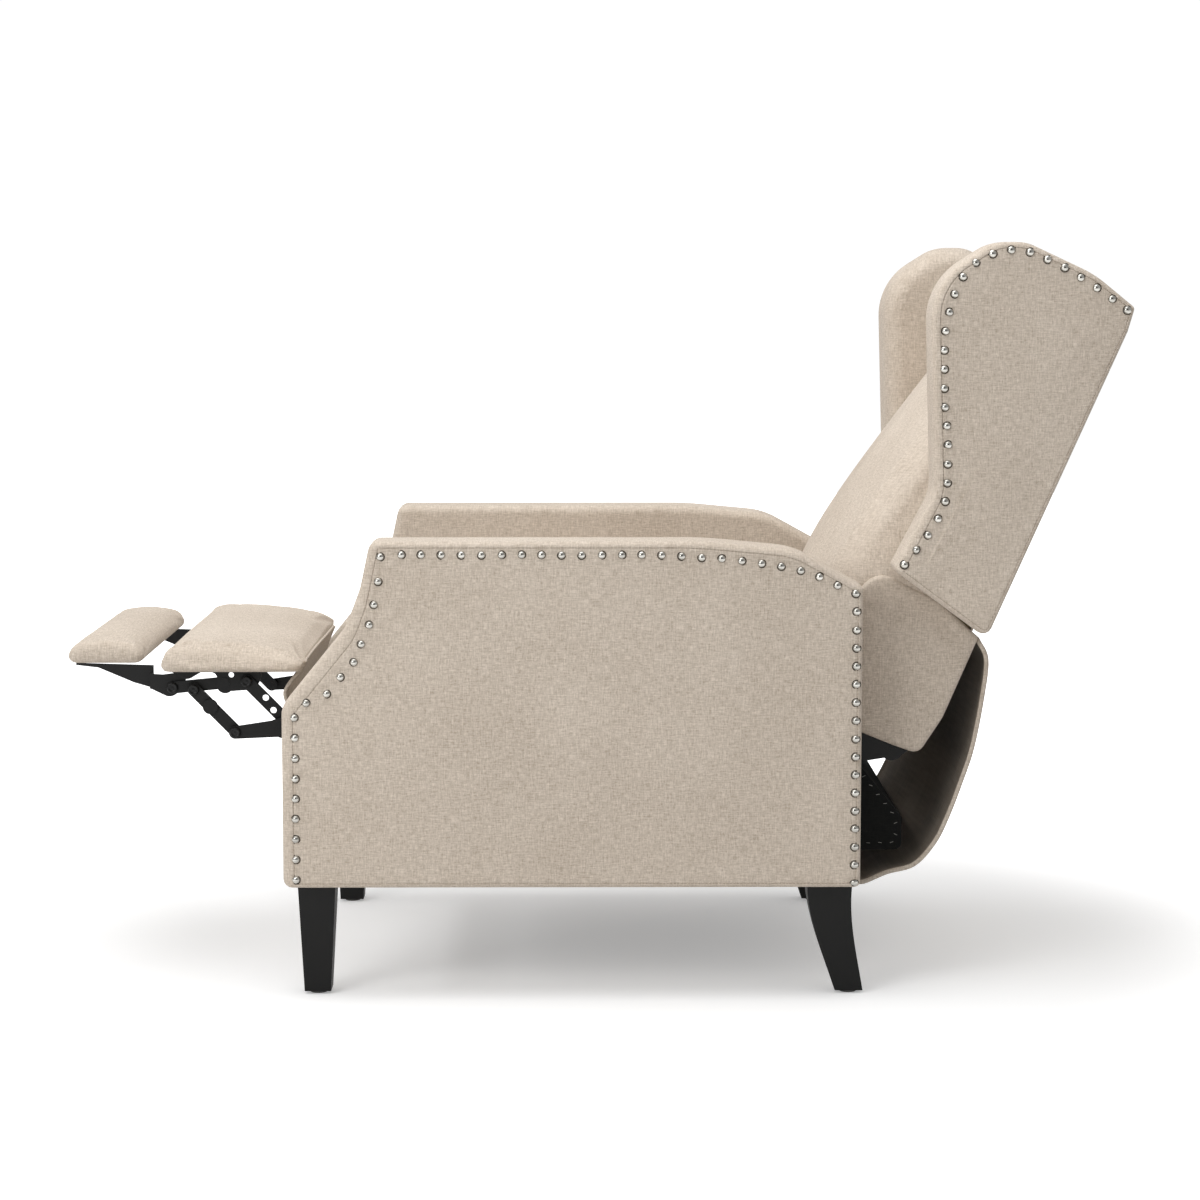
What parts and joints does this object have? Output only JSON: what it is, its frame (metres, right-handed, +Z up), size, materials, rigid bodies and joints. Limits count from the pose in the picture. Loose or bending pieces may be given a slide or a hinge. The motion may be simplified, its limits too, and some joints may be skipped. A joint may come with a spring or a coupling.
{
  "type": "wingback recliner",
  "caption": "Push-back recliner with padded flat arms, tall side wings, a hinged back, a folding two-part footrest on steel linkages and black tapered legs.",
  "frame": {"origin": "on the floor under the middle of the chair's box as it stands reclined, footrest out", "axes": "+Z up, the chair faces -Y, +X towards the sitter's left side"},
  "size_m": [0.69, 1.3983, 0.991],
  "materials": {
    "linen": "matte woven linen",
    "dust_cloth": "matte black non-woven cloth over a wooden box",
    "frame_wood": "raw sawn wood",
    "black_lacquer": "satin black lacquer",
    "black_steel": "semi-matte black paint",
    "glide_plastic": "matte grey"
  },
  "bodies": {
    "base": {"arm_left": "linen", "arm_right": "linen", "leg_front_left": "black_lacquer", "leg_front_right": "black_lacquer", "leg_rear_left": "black_lacquer", "leg_rear_right": "black_lacquer", "glide_front_left": "glide_plastic", "glide_front_right": "glide_plastic", "glide_rear_left": "glide_plastic", "glide_rear_right": "glide_plastic", "base_rail_front": "linen", "base_rail_rear": "frame_wood", "base_side_rail_left": "frame_wood", "base_side_rail_right": "frame_wood", "base_plate_left": "black_steel", "base_plate_right": "black_steel"},
    "swing_front_left": {"swing_front_left": "black_steel"},
    "swing_front_right": {"swing_front_right": "black_steel"},
    "swing_rear_left": {"swing_rear_left": "black_steel"},
    "swing_rear_right": {"swing_rear_right": "black_steel"},
    "seat": {"seat_plate_left": "black_steel", "seat_plate_right": "black_steel", "seat_side_rail_left": "frame_wood", "seat_side_rail_right": "frame_wood", "seat_front_rail": "linen", "seat_rear_rail": "frame_wood", "seat_deck": "dust_cloth", "seat_rear_box": "dust_cloth", "seat_cushion": "linen"},
    "back": {"back_post_left": "frame_wood", "back_post_right": "frame_wood", "back_rail_low": "frame_wood", "back_rail_top": "frame_wood", "back_panel": "linen", "back_bracket_left": "black_steel", "back_bracket_right": "black_steel", "back_side_left": "linen", "back_side_right": "linen", "back_cushion": "linen", "wing_left": "linen", "wing_right": "linen"},
    "rear_flap": {"rear_flap": "linen"},
    "lower_bars": {"footrest_lower_bar_left": "black_steel", "footrest_lower_bar_right": "black_steel", "footrest_tube": "black_steel"},
    "rear_bar_left": {"footrest_rear_bar_left": "black_steel"},
    "rear_bar_right": {"footrest_rear_bar_right": "black_steel"},
    "front_bar_left": {"footrest_front_bar_left": "black_steel"},
    "front_bar_right": {"footrest_front_bar_right": "black_steel"},
    "footrest": {"footrest_bracket_left": "black_steel", "footrest_bracket_right": "black_steel", "footrest_bar_left": "black_steel", "footrest_bar_right": "black_steel", "footrest_board": "dust_cloth", "footrest_pad": "linen", "footrest_flap": "linen"},
    "flipper": {"flipper_bracket_left": "black_steel", "flipper_bracket_right": "black_steel", "flipper_board": "dust_cloth", "flipper_pad": "linen"}
  },
  "joints": [
    {"name": "recline", "type": "hinge", "parent": "base", "child": "swing_front_left", "pos_m": [0.248, -0.19, 0.195], "axis": [1, 0, 0], "range_deg": [0, 52]},
    {"name": "swing_front_right", "type": "hinge", "parent": "base", "child": "swing_front_right", "pos_m": [-0.248, -0.19, 0.195], "axis": [1, 0, 0], "range_deg": [0, 52.02]},
    {"name": "swing_rear_left", "type": "hinge", "parent": "base", "child": "swing_rear_left", "pos_m": [0.248, 0.13, 0.195], "axis": [1, 0, 0], "range_deg": [0, 52.02]},
    {"name": "swing_rear_right", "type": "hinge", "parent": "base", "child": "swing_rear_right", "pos_m": [-0.248, 0.13, 0.195], "axis": [1, 0, 0], "range_deg": [0, 52.02]},
    {"name": "seat_on_link", "type": "hinge", "parent": "swing_front_left", "child": "seat", "pos_m": [0.248, -0.09339, 0.28199], "axis": [1, 0, 0], "range_deg": [-52.02, 0]},
    {"name": "back_hinge", "type": "hinge", "parent": "seat", "child": "back", "pos_m": [0, 0.407, 0.318], "axis": [1, 0, 0], "range_deg": [0, 9.02]},
    {"name": "flap_hinge", "type": "hinge", "parent": "base", "child": "rear_flap", "pos_m": [0, 0.3543, 0.154], "axis": [1, 0, 0], "range_deg": [0, 20.02]},
    {"name": "footrest_shaft", "type": "hinge", "parent": "seat", "child": "lower_bars", "pos_m": [0, -0.215, 0.36], "axis": [1, 0, 0], "range_deg": [0, 90.02]},
    {"name": "rear_bar_pivot_left", "type": "hinge", "parent": "lower_bars", "child": "rear_bar_left", "pos_m": [0.2275, -0.4024, 0.3512], "axis": [1, 0, 0], "range_deg": [-110.52, 0]},
    {"name": "front_bar_pivot_left", "type": "hinge", "parent": "lower_bars", "child": "front_bar_left", "pos_m": [0.2275, -0.4735, 0.3402], "axis": [1, 0, 0], "range_deg": [-110.52, 0]},
    {"name": "rear_bar_pivot_right", "type": "hinge", "parent": "lower_bars", "child": "rear_bar_right", "pos_m": [-0.2275, -0.4024, 0.3512], "axis": [1, 0, 0], "range_deg": [-110.52, 0]},
    {"name": "front_bar_pivot_right", "type": "hinge", "parent": "lower_bars", "child": "front_bar_right", "pos_m": [-0.2275, -0.4735, 0.3402], "axis": [1, 0, 0], "range_deg": [-110.52, 0]},
    {"name": "bracket_pivot", "type": "hinge", "parent": "rear_bar_left", "child": "footrest", "pos_m": [0.2275, -0.4582, 0.4084], "axis": [1, 0, 0], "range_deg": [0, 110.52]},
    {"name": "flipper_hinge", "type": "hinge", "parent": "footrest", "child": "flipper", "pos_m": [0, -0.5586, 0.3988], "axis": [1, 0, 0], "range_deg": [0, 170.02]}
  ],
  "couplings": [
    {"joint": "swing_front_right", "follows": "recline", "ratio": 1},
    {"joint": "swing_rear_left", "follows": "recline", "ratio": 1},
    {"joint": "swing_rear_right", "follows": "recline", "ratio": 1},
    {"joint": "seat_on_link", "follows": "recline", "ratio": -1},
    {"joint": "back_hinge", "follows": "recline", "ratio": 0.17308},
    {"joint": "flap_hinge", "follows": "recline", "ratio": 0.38462},
    {"joint": "footrest_shaft", "follows": "recline", "ratio": 1.7308},
    {"joint": "rear_bar_pivot_left", "follows": "recline", "ratio": -2.125},
    {"joint": "front_bar_pivot_left", "follows": "recline", "ratio": -2.125},
    {"joint": "rear_bar_pivot_right", "follows": "recline", "ratio": -2.125},
    {"joint": "front_bar_pivot_right", "follows": "recline", "ratio": -2.125},
    {"joint": "bracket_pivot", "follows": "recline", "ratio": 2.125},
    {"joint": "flipper_hinge", "follows": "recline", "ratio": 3.2692}
  ]
}
